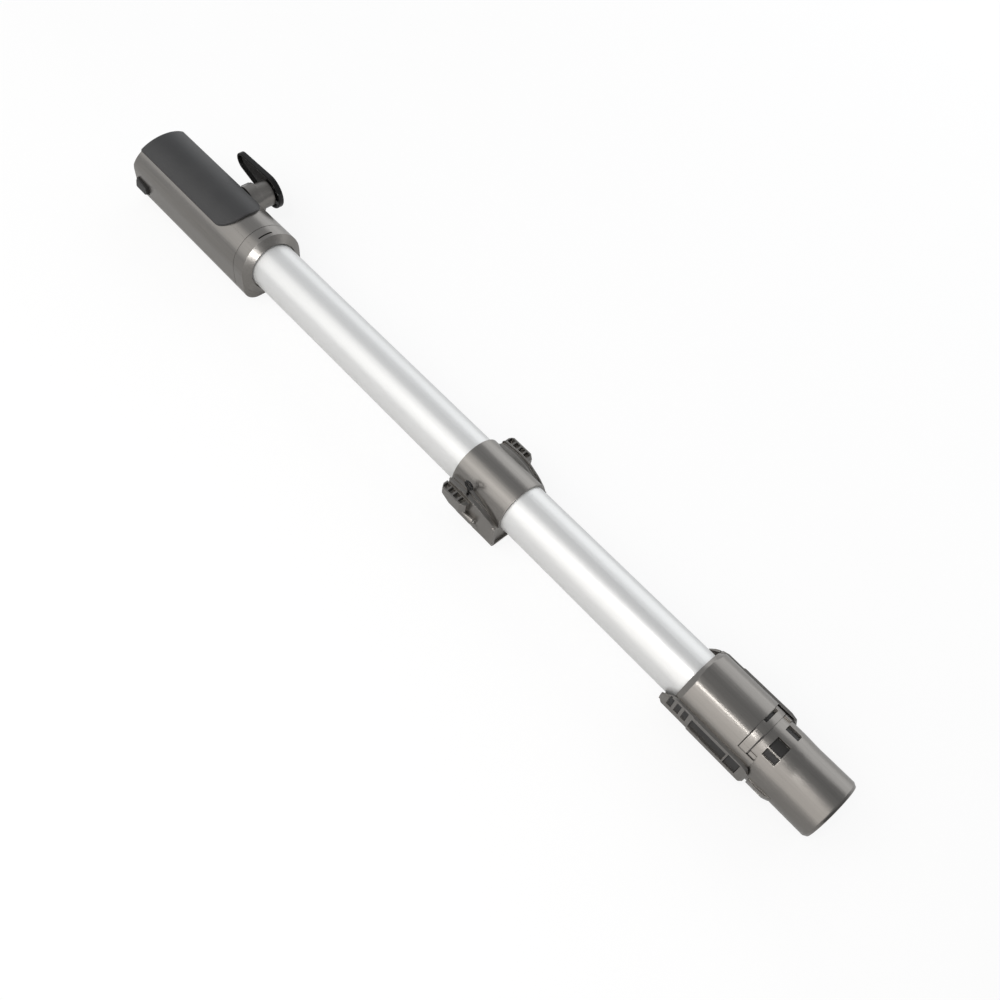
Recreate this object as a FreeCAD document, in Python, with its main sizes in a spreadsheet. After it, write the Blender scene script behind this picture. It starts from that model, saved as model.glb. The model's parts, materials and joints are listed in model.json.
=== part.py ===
import FreeCAD, Part
import math
import os
import re

import Sketcher
from FreeCAD import Rotation, Vector

# Vacuum extension wand, lying on its flat back with the soft panel up.
# The tube's axis is X. The socket's mouth is at the origin and the spigot is at the +X end.

doc = FreeCAD.newDocument("ExtensionWand")

# Driving sizes, in millimetres and degrees

SIZES = [
    ("tube_radius", 17.5, "outside of the aluminium tube"),
    ("tube_wall", 1.0, "wall of the tube"),
    ("tube_start", 80, "socket mouth to the tube's upper end"),
    ("tube_length", 512, "length of the tube"),
    ("socket_half", 24.5, "half width of the socket, and the radius of its round top"),
    ("socket_corner", 12, "radius of the socket's back corners"),
    ("back_depth", 24.5, "axis to the flat back"),
    ("socket_length", 128, "length of the socket housing"),
    ("socket_depth", 46, "how far a spigot goes in"),
    ("socket_play", 0.2, "play between a spigot's neck and the socket"),
    ("seal_width", 3, "width of the socket's seal"),
    ("seal_room", 3.4, "width of the recess that the seal sits in"),
    ("seal_radius", 21.6, "outside of the socket's seal"),
    ("seal_lip", 2.8, "how far the seal stands into the socket"),
    ("cuff_length", 15, "length of the end cuff"),
    ("cuff_slope", 4.2, "length of the cuff's sloping end face"),
    ("cuff_relief", 1.1, "width of the gap round the tube at the cuff's end"),
    ("relief_depth", 2.5, "depth of that gap"),
    ("mouth_slant", 8, "how far the socket's front is cut back at its crown"),
    ("slant_low", 5, "height where the cut begins"),
    ("panel_start", 0, "socket mouth to the panel, before the slanting cut"),
    ("panel_length", 113, "length of the soft panel"),
    ("panel_half", 17.7, "half width of the panel"),
    ("panel_thick", 1.5, "thickness of the panel"),
    ("panel_corner", 14, "radius of the panel's lower corners"),
    ("boss_place", 85.5, "socket mouth to the hook's axis"),
    ("boss_height", 8.8, "tube axis to the hook's axis"),
    ("boss_radius", 9.6, "radius of the hook's boss"),
    ("boss_top", 36.2, "tube axis to the top of the boss"),
    ("flange_radius", 11.4, "radius of the boss's base flange"),
    ("flange_top", 26.4, "tube axis to the top of the flange"),
    ("washer_radius", 7.5, "radius of the hook's washer"),
    ("washer_thick", 0.5, "thickness of the hook's washer"),
    ("hook_radius", 13, "radius of the hook's round end"),
    ("hook_tip", 7.2, "radius of the hook's tip"),
    ("hook_reach", 33, "hook's axis to the middle of its tip"),
    ("hook_thick", 4.2, "thickness of the hook at its rim"),
    ("hook_rim", 1.7, "width of the hook's rim"),
    ("hook_dish", 1.7, "depth inside the hook's rim"),
    ("hook_lift", 8, "angle of the hook above the wand's line"),
    ("hub_radius", 6.6, "radius of the hook's hub"),
    ("bolt_radius", 2.6, "radius of the shoulder screw's shoulder"),
    ("bolt_head", 4.8, "radius of the shoulder screw's head"),
    ("bolt_cap", 1.2, "thickness of the shoulder screw's head"),
    ("pivot_play", 0.05, "play round each pivot"),
    ("moving_gap", 0.12, "gap beside flat moving faces"),
    ("button_start", 2.2, "socket mouth to a release button"),
    ("button_length", 14.8, "length of a release button"),
    ("button_gap", 0.35, "gap round a release button"),
    ("button_top", -2.8, "height of a button's upper corner"),
    ("button_bottom", -16.2, "height of a button's lower point"),
    ("button_point", 6.4, "a button's upper end to its lower point, along the wand"),
    ("button_sag", 0.5, "extra gap below a button, where it swings down as it rocks"),
    ("button_proud", 2.3, "how far a button stands out"),
    ("button_thick", 4.5, "thickness of a button's plate"),
    ("pivot_height", -10.4, "height of a button's pivot"),
    ("pivot_reach", 23.5, "tube axis to a button's pivot, across the wand"),
    ("pivot_radius", 0.7, "radius of a button's pivot pin"),
    ("catch_width", 3.4, "width of a button's catch"),
    ("spring_half", 1.7, "half height of a button's leaf spring"),
    ("spring_leaf", 0.4, "thickness of a leaf spring"),
    ("spring_width", 6, "width of a leaf spring, along the wand"),
    ("spring_pocket", 5.2, "depth of a spring's pocket under its button"),
    ("key_angle", 104, "angle of a spigot's side keys from the top"),
    ("key_spread", 22, "angle that a key takes"),
    ("key_radius", 21.7, "outside of a key"),
    ("key_start", 1.5, "place of the next part's mouth to a key"),
    ("key_length", 15, "length of a key"),
    ("key_lead", 3.5, "length of the slope at a key's free end"),
    ("clip_place", 300, "tube's upper end to the middle of the clip collar"),
    ("clip_length", 44, "length of the clip collar"),
    ("clip_radius", 19.4, "outside of the clip collar's front shell"),
    ("clip_split", -3.4, "height where the front shell meets the saddle"),
    ("saddle_half", 21, "half width of the saddle"),
    ("saddle_depth", 21, "axis to the saddle's underside"),
    ("saddle_corner", 9, "radius of the saddle's corners"),
    ("lobe_radius", 3, "radius of the lobe under a tool post"),
    ("foot_half", 22.8, "half width of the saddle's foot"),
    ("foot_length", 16, "length of the saddle's foot"),
    ("foot_corner", 3, "radius of the foot's corners"),
    ("recess_depth", 1.3, "depth of the recesses in the foot's end face"),
    ("recess_wall", 1.6, "wall round those recesses"),
    ("web_half", 24.6, "axis to the outer face of the web beside the shell"),
    ("post_reach", 6.2, "how far a tool post stands out from the web"),
    ("post_length", 21.5, "length of a tool post"),
    ("post_height", 9.5, "height of a tool post"),
    ("post_lip", 4.6, "height of a tool post at its upper end"),
    ("post_wall", 1.3, "thickness of a post's ribs and wall"),
    ("pocket_depth", 3.4, "depth of a post's pockets"),
    ("ridge_width", 1.3, "width of the ridges along a web"),
    ("channel_width", 2.5, "width of the channel between a web's ridges"),
    ("channel_depth", 1.3, "depth of the channel between a web's ridges"),
    ("loop_place", 26.4, "clip collar's lower end to the loop beside the left post"),
    ("loop_radius", 2.7, "radius of that loop"),
    ("loop_wire", 0.8, "radius of the loop's cord"),
    ("loop_height", 15.5, "tube axis to the middle of the loop"),
    ("pocket_length", 3.4, "length of a post's pocket"),
    ("collar_over", 43, "how far the lower collar reaches over the tube"),
    ("collar_length", 42, "length of the lower collar at the front"),
    ("collar_skirt", 11.5, "how much longer the lower collar's sides are"),
    ("collar_radius", 22.6, "outside of the lower collar"),
    ("collar_mouth", 20.2, "outside of the lower collar at its upper edge"),
    ("collar_flare", 3.6, "length of the slope at the lower collar's upper edge"),
    ("crown_radius", 30, "radius of the lower collar's flatter front"),
    ("crown_height", 21.8, "axis to the lower collar's front"),
    ("sleeve_radius", 19.4, "outside of the spigot's sleeve in the collar"),
    ("notch_half", 18.2, "half width of the collar's front notch"),
    ("collar_ears", 7, "how far the collar's sides reach past its upper edge"),
    ("rail_half", 22.9, "axis to the outer face of a tool rail"),
    ("rail_seat", 20.4, "axis to the flat that a tool rail sits on"),
    ("rail_height", 8.5, "half height of a tool rail"),
    ("rail_length", 63.5, "length of a tool rail"),
    ("groove_depth", 1.5, "depth of a tool rail's groove"),
    ("rail_border", 2.1, "height of the sloping border above a tool rail"),
    ("neck_radius", 20.6, "outside of the spigot's neck"),
    ("ring_radius", 21.7, "outside of the ring at the spigot's shoulder"),
    ("ring_length", 6.4, "length of the ring at the spigot's shoulder"),
    ("neck_length", 21, "length of the spigot's neck, ring included"),
    ("taper_length", 10, "length of the taper from the neck to the nose"),
    ("nose_radius", 20.1, "outside of the spigot's nose"),
    ("spigot_length", 57.6, "shoulder to the spigot's tip"),
    ("lip_length", 2.3, "length of the spigot's bevelled lip"),
    ("lip_depth", 1.3, "depth of the spigot's bevelled lip"),
    ("airway_radius", 16.5, "inside of the spigot"),
    ("window_start", 11.8, "spigot's shoulder to its catch windows"),
    ("window_length", 8.6, "length of a catch window"),
    ("window_depth", 1.7, "depth of a catch window"),
    ("pad_rise", 0.8, "how far the ring's pad stands out"),
    ("screw_radius", 1.5, "radius of a screw's shank"),
    ("screw_head", 3.0, "radius of a screw's head"),
    ("screw_bite", 1.7, "how far a screw reaches past the tube's outside"),
    ("clip_width", 1.2, "thickness of the cuff's retaining clip"),
    ("clip_reach", 5.5, "half width of the cuff's retaining clip"),
    ("clip_sink", 2.4, "how deep the retaining clip lies in the cuff"),
    ("stop_radius", 2, "radius of the hook's rubber stop"),
    ("stop_place", 10.3, "hook's axis to the stop, towards the mouth"),
    ("stop_rise", 3.7, "hook's axis up to the stop"),
    ("stop_top", 28.4, "tube axis to the outer end of the stop"),
]

sheet = doc.addObject("Spreadsheet::Sheet", "Sizes")
for row, (alias, amount, note) in enumerate(SIZES, 1):
    sheet.set("A%d" % row, note)
    sheet.set("B%d" % row, str(amount))
    sheet.setAlias("B%d" % row, alias)
doc.recompute()
ALIASES = {alias for alias, amount, note in SIZES}

# Places that follow from the sizes

BORE_RADIUS = "(neck_radius + socket_play)"
KEYWAY_RADIUS = "(key_radius + socket_play)"
THROAT_RADIUS = "(tube_radius - tube_wall)"
TUBE_END = "(tube_start + tube_length)"
CUFF_END = "(socket_length + cuff_length)"
CLIP_START = "(tube_start + clip_place - clip_length / 2)"
CLIP_END = "(tube_start + clip_place + clip_length / 2)"
COLLAR_START = "(%s - collar_over)" % TUBE_END
SHOULDER = "(%s + collar_length)" % COLLAR_START
COLLAR_END = "(%s + collar_skirt)" % SHOULDER
RAIL_START = "(%s - collar_ears)" % COLLAR_START
RAIL_END = "(%s + rail_length)" % RAIL_START
SPIGOT_TIP = "(%s + spigot_length)" % SHOULDER
POST_FACE = "(web_half + post_reach)"
HOOK_START = "(boss_top + washer_thick + moving_gap)"
BOLT_SEAT = "(%s + hook_thick - bolt_cap)" % HOOK_START
BUTTON_FACE = "(socket_half + button_proud)"
BUTTON_BACK = "(%s - button_thick)" % BUTTON_FACE
BUTTON_END = "(button_start + button_length)"
CATCH_START = "(button_start + (button_length - catch_width) / 2)"
CATCH_END = "(button_start + (button_length + catch_width) / 2)"
SIDES = (("right", 1), ("left", -1))


def formula(text):
    """An expression on the sheet, from one written with the plain names of its cells."""
    def cell(found):
        word = found.group()
        return "Sizes." + word if word in ALIASES else word
    return re.sub(r"[a-z_]+", cell, text)


def value(text):
    return float(sheet.evalExpression(formula(text)))


def bind(thing, **formulas):
    for path, text in formulas.items():
        thing.setExpression(path, formula(text))
    return thing


def put(thing, x="0", y="0", z="0"):
    for axis, text in zip("xyz", (x, y, z)):
        thing.setExpression(".Placement.Base." + axis, formula(text))
    return thing


# Primitives and booleans

TURNS = {"X": Rotation(Vector(0, 1, 0), 90), "Y": Rotation(Vector(1, 0, 0), -90), "Z": Rotation()}


def aim(thing, along, start, across):
    """Turns a round solid to point along an axis and puts its foot there."""
    thing.Placement = FreeCAD.Placement(Vector(), TURNS[along])
    spots = list(across)
    spots.insert("XYZ".index(along), start)
    return put(thing, *spots)


def rod(name, radius, start, length, across=("0", "0"), along="X"):
    thing = doc.addObject("Part::Cylinder", name)
    bind(thing, Radius=radius, Height=length)
    return aim(thing, along, start, across)


def cone(name, radii, start, length, across=("0", "0"), along="X"):
    thing = doc.addObject("Part::Cone", name)
    bind(thing, Radius1=radii[0], Radius2=radii[1], Height=length)
    return aim(thing, along, start, across)


def sector(name, radius, start, length, middle, spread):
    """A wedge of a cylinder on the tube's axis; middle is its angle from the top, towards +Y."""
    thing = doc.addObject("Part::Cylinder", name)
    bind(thing, Radius=radius, Height=length)
    thing.Angle = spread
    turn = Rotation(Vector(1, 0, 0), 180 - middle - spread / 2)
    thing.Placement = FreeCAD.Placement(Vector(), turn * TURNS["X"])
    return put(thing, start)


def block(name, x, y, z):
    thing = doc.addObject("Part::Box", name)
    spans = ["(%s) - (%s)" % (high, low) for low, high in (x, y, z)]
    bind(thing, Length=spans[0], Width=spans[1], Height=spans[2])
    return put(thing, x[0], y[0], z[0])


def beside(side, near, far):
    """A span across Y on one side of the axis."""
    if side > 0:
        return near, far
    return "-(%s)" % far, "-(%s)" % near


def fuse(name, *parts):
    thing = doc.addObject("Part::MultiFuse", name)
    thing.Shapes = list(parts)
    thing.Refine = True
    return thing


def common(name, *parts):
    thing = doc.addObject("Part::MultiCommon", name)
    thing.Shapes = list(parts)
    thing.Refine = True
    return thing


def cut(name, base, *tools):
    thing = doc.addObject("Part::Cut", name)
    thing.Base = base
    thing.Tool = tools[0] if len(tools) == 1 else fuse(name + "Tools", *tools)
    thing.Refine = True
    return thing


# Bodies made from sketches

def newSketch(body, role, name):
    plane = next(one for one in body.Origin.OriginFeatures if one.Role == role)
    sketch = body.newObject("Sketcher::SketchObject", name)
    sketch.AttachmentSupport = [(plane, "")]
    sketch.MapMode = "FlatFace"
    return sketch


def measure(sketch, kind, places, text):
    """A size in a sketch that follows the sheet."""
    number = sketch.addConstraint(Sketcher.Constraint(kind, *places, value(text)))
    sketch.setExpression("Constraints[%d]" % number, formula(text))


def outline(sketch, corners):
    """A closed outline of straight lines; each corner is a pair of expressions."""
    spots = [Vector(value(along), value(up), 0) for along, up in corners]
    first = sketch.GeometryCount
    count = len(spots)
    for number, spot in enumerate(spots):
        sketch.addGeometry(Part.LineSegment(spot, spots[(number + 1) % count]), False)
    for number, (along, up) in enumerate(corners):
        line = first + number
        following = first + (number + 1) % count
        sketch.addConstraint(Sketcher.Constraint("Coincident", line, 2, following, 1))
        measure(sketch, "DistanceX", (-1, 1, line, 1), along)
        measure(sketch, "DistanceY", (-1, 1, line, 1), up)


def turned(name, corners):
    """A body turned about the tube's axis; each corner is a place along it and a radius."""
    body = doc.addObject("PartDesign::Body", name)
    sketch = newSketch(body, "XZ_Plane", name + "Profile")
    outline(sketch, corners)
    turn = body.newObject("PartDesign::Revolution", name + "Turn")
    turn.Profile = sketch
    turn.ReferenceAxis = (sketch, ["H_Axis"])
    turn.Angle = 360
    return body


def bellSection(sketch, half, depth, corner):
    """A section with a round top, straight sides and a flat back with round corners."""
    wide, deep, bend = value(half), value(depth), value(corner)
    inner, low = wide - bend, deep - bend
    up = Vector(0, 0, 1)
    shapes = [
        Part.ArcOfCircle(Part.Circle(Vector(0, 0, 0), up, wide), 0, math.pi),
        Part.LineSegment(Vector(-wide, 0, 0), Vector(-wide, -low, 0)),
        Part.ArcOfCircle(Part.Circle(Vector(-inner, -low, 0), up, bend), math.pi, 1.5 * math.pi),
        Part.LineSegment(Vector(-inner, -deep, 0), Vector(inner, -deep, 0)),
        Part.ArcOfCircle(Part.Circle(Vector(inner, -low, 0), up, bend), 1.5 * math.pi, 2 * math.pi),
        Part.LineSegment(Vector(wide, -low, 0), Vector(wide, 0, 0)),
    ]
    for shape in shapes:
        sketch.addGeometry(shape, False)
    for number in range(len(shapes)):
        following = (number + 1) % len(shapes)
        sketch.addConstraint(Sketcher.Constraint("Tangent", number, 2, following, 1))
    sketch.addConstraint(Sketcher.Constraint("Coincident", 0, 3, -1, 1))
    sketch.addConstraint(Sketcher.Constraint("Horizontal", 3))
    sketch.addConstraint(Sketcher.Constraint("Equal", 2, 4))
    measure(sketch, "Radius", (0,), half)
    measure(sketch, "Radius", (2,), corner)
    measure(sketch, "DistanceY", (-1, 1, 3, 1), "-(%s)" % depth)


def bellPad(name, start, length, half, depth, corner):
    body = doc.addObject("PartDesign::Body", name)
    sketch = newSketch(body, "YZ_Plane", name + "Section")
    bellSection(sketch, half, depth, corner)
    pad = body.newObject("PartDesign::Pad", name + "Pad")
    pad.Profile = sketch
    bind(pad, Length=length)
    return put(body, start)


def leafOutline(sketch, large, small, reach):
    """Two round ends joined by tangent lines: the large one at the origin, the small one at -X."""
    big, little, gap = value(large), value(small), value(reach)
    lean = math.acos((big - little) / gap)
    up = Vector(0, 0, 1)
    tip = Vector(-gap, 0, 0)
    way = Vector(math.cos(math.pi - lean), math.sin(math.pi - lean), 0)
    mirrored = Vector(way.x, -way.y, 0)
    shapes = [
        Part.ArcOfCircle(Part.Circle(Vector(0, 0, 0), up, big), lean - math.pi, math.pi - lean),
        Part.LineSegment(way * big, tip + way * little),
        Part.ArcOfCircle(Part.Circle(tip, up, little), math.pi - lean, math.pi + lean),
        Part.LineSegment(tip + mirrored * little, mirrored * big),
    ]
    first = sketch.GeometryCount
    for shape in shapes:
        sketch.addGeometry(shape, False)
    for number in range(len(shapes)):
        following = first + (number + 1) % len(shapes)
        sketch.addConstraint(Sketcher.Constraint("Tangent", first + number, 2, following, 1))
    sketch.addConstraint(Sketcher.Constraint("Coincident", first, 3, -1, 1))
    sketch.addConstraint(Sketcher.Constraint("PointOnObject", first + 2, 3, -1))
    measure(sketch, "Radius", (first,), large)
    measure(sketch, "Radius", (first + 2,), small)
    measure(sketch, "DistanceX", (-1, 1, first + 2, 3), "-(%s)" % reach)


def prism(name, role, corners, low, high):
    """A straight-sided outline padded between two places along its plane's normal."""
    body = doc.addObject("PartDesign::Body", name)
    sketch = newSketch(body, role, name + "Outline")
    outline(sketch, corners)
    pad = body.newObject("PartDesign::Pad", name + "Pad")
    pad.Profile = sketch
    pad.Reversed = role == "XZ_Plane"
    bind(pad, Length="(%s) - (%s)" % (high, low))
    return put(body, **{{"XZ_Plane": "y", "YZ_Plane": "x", "XY_Plane": "z"}[role]: low})


NODES = []


def node(thing, label):
    thing.Label = label
    NODES.append(thing)
    return thing


# Screws go up from the back into the tube

SCREWS = {
    "tube_screws": (("socket_length - 28", "back_depth"), ("socket_length - 9", "back_depth")),
    "clip_screws": (("%s + 13" % CLIP_START, "saddle_depth"), ("%s - 8" % CLIP_END, "back_depth")),
    "collar_screws": (("%s + 14" % COLLAR_START, "collar_radius"),
                      ("%s + 29" % COLLAR_START, "collar_radius")),
}


def screwShape(name, place, depth, slack):
    """A countersunk screw, or with slack the hole that it goes in."""
    sunk = "(%s) - 0.4" % depth
    top = "-tube_radius + screw_bite"
    head = cone(name + "Head", ("screw_head + " + slack, "screw_radius + " + slack),
                "-(%s)" % sunk, "screw_head - screw_radius", (place, "0"), "Z")
    shank = rod(name + "Shank", "screw_radius + " + slack, "-(%s)" % sunk, "%s + %s" % (sunk, top),
                (place, "0"), "Z")
    return [head, shank]


def screwHoles(label):
    holes = []
    for number, (place, depth) in enumerate(SCREWS[label]):
        name = "%sHole%d" % (label, number)
        holes += screwShape(name, place, depth, "pivot_play")
        holes.append(rod(name + "Mouth", "screw_head + pivot_play", "-(%s) - 1" % depth, "1.4",
                         (place, "0"), "Z"))
    return holes


def makeScrews(label):
    screws = []
    for number, (place, depth) in enumerate(SCREWS[label]):
        name = "%s%d" % (label, number)
        blank = fuse(name + "Blank", *screwShape(name, place, depth, "0"))
        low = "-(%s)" % depth
        span = ("%s - screw_head * 0.6" % place, "%s + screw_head * 0.6" % place)
        across = block(name + "Across", span, ("-0.35", "0.35"), (low, "%s + 1.3" % low))
        thin = ("%s - 0.35" % place, "%s + 0.35" % place)
        along = block(name + "Along", thin, ("-screw_head * 0.6", "screw_head * 0.6"),
                      (low, "%s + 1.3" % low))
        screws.append(cut(name + "Cross", blank, across, along))
    whole = doc.addObject("Part::Compound", label + "Pair")
    whole.Links = screws
    node(whole, label)


# Tube

def makeTube():
    shell = turned("Tube", [("tube_start", THROAT_RADIUS), (TUBE_END, THROAT_RADIUS),
                            (TUBE_END, "tube_radius"), ("tube_start", "tube_radius")])
    slot = block("TubeSlot", CLIP_SPAN, ("-clip_reach", "clip_reach"), ("0", "tube_radius + 1"))
    holes = screwHoles("tube_screws") + screwHoles("clip_screws") + screwHoles("collar_screws")
    node(cut("TubeHoled", shell, slot, *holes), "wand_tube")


# Upper socket

STOP_AXIS = ("(boss_place - stop_place)", "(boss_height + stop_rise)")
CLIP_MIDDLE = "(socket_length + cuff_length / 2)"
CLIP_SPAN = ("%s - clip_width / 2" % CLIP_MIDDLE, "%s + clip_width / 2" % CLIP_MIDDLE)


def keyRing(name, radius, start, length, spare):
    """Wedges at the places of the side keys, with some spare degrees on each side."""
    angle, spread = value("key_angle"), value("key_spread") + 2 * spare
    return [sector(name + side, radius, start, length, way * angle, spread) for side, way in SIDES]


def buttonShield(name, gap, sag, span):
    """A release button's outline from the side: a slanting top and a point below, with a gap round it."""
    low = "pivot_height - %s - %s" % (gap, sag)
    return prism(name, "XZ_Plane", [
        ("button_start - %s - %s / 2" % (gap, sag), low + " - 1.4"),
        ("button_start + 2.8 - " + gap, "button_top + " + gap),
        (BUTTON_END + " + " + gap, "button_top - 1.9 + " + gap), (BUTTON_END + " + " + gap, low),
        ("button_start + button_point", "button_bottom - %s - %s" % (gap, sag))], *span)


def buttonPockets(side, way):
    """The room that a release button, its catch, spring and pin need in the housing's wall."""
    window = buttonShield("ButtonWindow" + side, "button_gap", "button_sag",
                          beside(way, BUTTON_BACK + " - 0.2", BUTTON_FACE + " + 1"))
    well = block("ButtonWell" + side, ("button_start - button_gap", BUTTON_END + " + button_gap"),
                 beside(way, BUTTON_BACK + " - 2.4", BUTTON_BACK),
                 ("button_bottom - button_gap - button_sag", "pivot_height + 0.4"))
    door = block("CatchDoor" + side, (CATCH_START + " - 2", CATCH_END + " + button_gap"),
                 beside(way, "neck_radius - 2", BUTTON_FACE),
                 ("pivot_height + 1.6", "pivot_height + 6"))
    hole = rod("PinHole" + side, "pivot_radius", "button_start - 1.6", "button_length + 3.2",
               ("%d * pivot_reach" % way, "pivot_height"))
    along, up = SPRING_PLACE
    spring = block("SpringWell" + side,
                   (along + " - spring_width / 2 - 0.3", along + " + spring_width / 2 + 0.3"),
                   beside(way, "%s - spring_pocket" % BUTTON_BACK, BUTTON_BACK),
                   (up + " - spring_half - 0.3", up + " + spring_half + 0.3"))
    return [window, well, door, hole, spring]


def mouthCut(name):
    """The slanting cut across the front of the socket's mouth."""
    rise = "(socket_half + panel_thick)"
    return prism(name, "XZ_Plane", [
        ("-1", "slant_low"), ("0", "slant_low"), ("mouth_slant", rise),
        ("mouth_slant + 1", rise + " + 3"), ("-1", rise + " + 3")], "-socket_half", "socket_half")


def makeHousing():
    outside = bellPad("HousingOutside", "0", "socket_length", "socket_half", "back_depth",
                      "socket_corner")
    foot = "panel_half + 0.6"
    axis = ("boss_place", "boss_height")
    boss = rod("Boss", "boss_radius", foot, "boss_top - (%s)" % foot, axis, "Y")
    flange = rod("Flange", "flange_radius", foot, "flange_top - (%s)" % foot, axis, "Y")
    root = rod("BossRoot", "boss_radius - 3", "boss_height", foot, axis, "Y")
    blank = fuse("HousingBlank", outside, boss, flange, root)
    bore = rod("Bore", BORE_RADIUS, "-1", "socket_depth + 1 - seal_room")
    recess = rod("SealRecess", "seal_radius", "socket_depth - seal_room", "seal_room")
    throat = rod("Throat", THROAT_RADIUS, "0", "socket_length")
    seat = rod("TubeSeat", "tube_radius", "tube_start", "socket_length")
    thread = rod("BossThread", "screw_radius", "flange_top - 4", "boss_top", axis, "Y")
    keys = keyRing("Keyway", KEYWAY_RADIUS, "-1", "key_start + key_length + 2.5", 2)
    pockets = [tool for side, way in SIDES for tool in buttonPockets(side, way)]
    tools = [bore, recess, throat, seat, thread, mouthCut("HousingMouth")]
    tools += keys + pockets + screwHoles("tube_screws")
    tools.append(rod("StopHole", "stop_radius", "socket_half - 3", "10", STOP_AXIS, "Y"))
    node(cut("Housing", blank, *tools), "socket_housing")


def makeCuff():
    blank = bellPad("CuffOutside", "socket_length", "cuff_length", "socket_half", "back_depth",
                    "socket_corner")
    rim = "%s - cuff_slope" % CUFF_END
    slope = turned("CuffSlope", [("0", "0"), (CUFF_END, "0"), (CUFF_END, "tube_radius"),
                                 (rim, "socket_half"), (rim, "socket_half * 2"),
                                 ("0", "socket_half * 2")])
    faced = common("CuffFaced", blank, slope)
    bore = rod("CuffBore", "tube_radius", "0", CUFF_END)
    slot = block("CuffSlot", CLIP_SPAN, ("-clip_reach", "clip_reach"), ("0", "socket_half + 1"))
    relief = rod("CuffRelief", "tube_radius + cuff_relief", "%s - relief_depth" % CUFF_END,
                 "relief_depth + 1")
    node(cut("Cuff", faced, bore, slot, relief), "socket_cuff")
    plate = block("ClipPlate", CLIP_SPAN, ("-clip_reach", "clip_reach"), ("0", "socket_half"))
    top = rod("ClipTop", "socket_half - clip_sink", "0", CUFF_END)
    inside = rod("ClipInside", "tube_radius - tube_wall", "0", CUFF_END)
    node(cut("Clip", common("ClipRound", plate, top), inside), "cuff_clip")


def makePanel():
    end = "(panel_start + panel_length)"
    bend = "(%s - panel_corner)" % end
    side = "(panel_half - panel_corner)"
    height = ("0", "socket_half + 10")
    wide = block("PanelWide", ("panel_start", bend), ("-panel_half", "panel_half"), height)
    long = block("PanelLong", ("panel_start", end), ("-" + side, side), height)
    bends = [rod("PanelBend" + name, "panel_corner", "0", "socket_half + 10",
                 (bend, "%d * %s" % (way, side)), "Z") for name, way in SIDES]
    plan = fuse("PanelPlan", wide, long, *bends)
    skin = rod("PanelSkin", "socket_half + panel_thick", "0", "socket_length")
    seat = rod("PanelSeat", "socket_half", "-1", "socket_length + 2")
    node(cut("Panel", common("PanelCrown", plan, skin), seat, mouthCut("PanelMouth")), "grip_panel")


def makeSocketSeal():
    start, end = "socket_depth - seal_width", "socket_depth"
    lip = "%s - seal_lip" % BORE_RADIUS
    back = "seal_radius"
    node(turned("SocketSeal", [(start, lip + " + 1"), (start, back), (end, back),
                               (end, lip), (start + " + 1", lip)]), "socket_seal")


# Release buttons, each rocking on a pin that lies along the wand

SPRING_PLACE = ("(button_start + button_point)", "(button_bottom + spring_half + 1)")


def makeButton(side, way):
    face = ["%d * (%s)" % (way, reach) for reach in
            (BUTTON_FACE + " - 0.9", BUTTON_FACE, BUTTON_FACE, BUTTON_FACE + " - 1.8")]
    back = "%d * (%s)" % (way, BUTTON_BACK)
    section = prism("ButtonSection" + side, "YZ_Plane", [
        (back, "button_top"), (face[0], "button_top"), (face[1], "button_top - 2.5"),
        (face[2], "pivot_height - 2"), (face[3], "button_bottom"), (back, "button_bottom")],
        "button_start", BUTTON_END)
    shield = buttonShield("ButtonShield" + side, "0", "0", beside(way, BUTTON_BACK, BUTTON_FACE))
    plate = common("ButtonPlate" + side, section, shield)
    catch = prism("Catch" + side, "XY_Plane", [
        (CATCH_START + " - 1.6", "%d * (%s + 0.1)" % (way, BUTTON_BACK)),
        (CATCH_START, "%d * (neck_radius - 0.3)" % way), (CATCH_END, "%d * (neck_radius - 0.3)" % way),
        (CATCH_END, "%d * (%s + 0.1)" % (way, BUTTON_BACK))],
        "pivot_height + 2.6", "pivot_height + 4.6")
    middle = ("%d * pivot_reach" % way, "pivot_height")
    hole = rod("ButtonHole" + side, "pivot_radius + pivot_play", "0", "button_length * 2", middle)
    node(cut("Button" + side, fuse("ButtonBlank" + side, plate, catch), hole),
         "release_button_" + side)
    pin = rod("ButtonPin" + side, "pivot_radius", "button_start - 1.4", "button_length + 2.8", middle)
    node(pin, "button_pin_" + side)


def makeSpring(side, way):
    """A leaf bent like a Z between a button and the bottom of its well."""
    along, middle = SPRING_PLACE
    foot = "%s - spring_pocket + 0.05" % BUTTON_BACK
    head = "%s - 0.05" % BUTTON_BACK
    low, high = middle + " - spring_half", middle + " + spring_half"
    leg = "spring_leaf * 2"
    bends = [(foot, low), (foot, high), (foot + " + spring_leaf", high),
             (head + " - spring_leaf", low + " + " + leg), (head + " - spring_leaf", high),
             (head, high), (head, low), (head + " - spring_leaf", low),
             (foot + " + spring_leaf", high + " - " + leg), (foot + " + spring_leaf", low)]
    corners = [("%d * (%s)" % (way, out), up) for out, up in bends]
    node(prism("Spring" + side, "YZ_Plane", corners, along + " - spring_width / 2",
               along + " + spring_width / 2"), "button_spring_" + side)


# Cord hook

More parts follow.
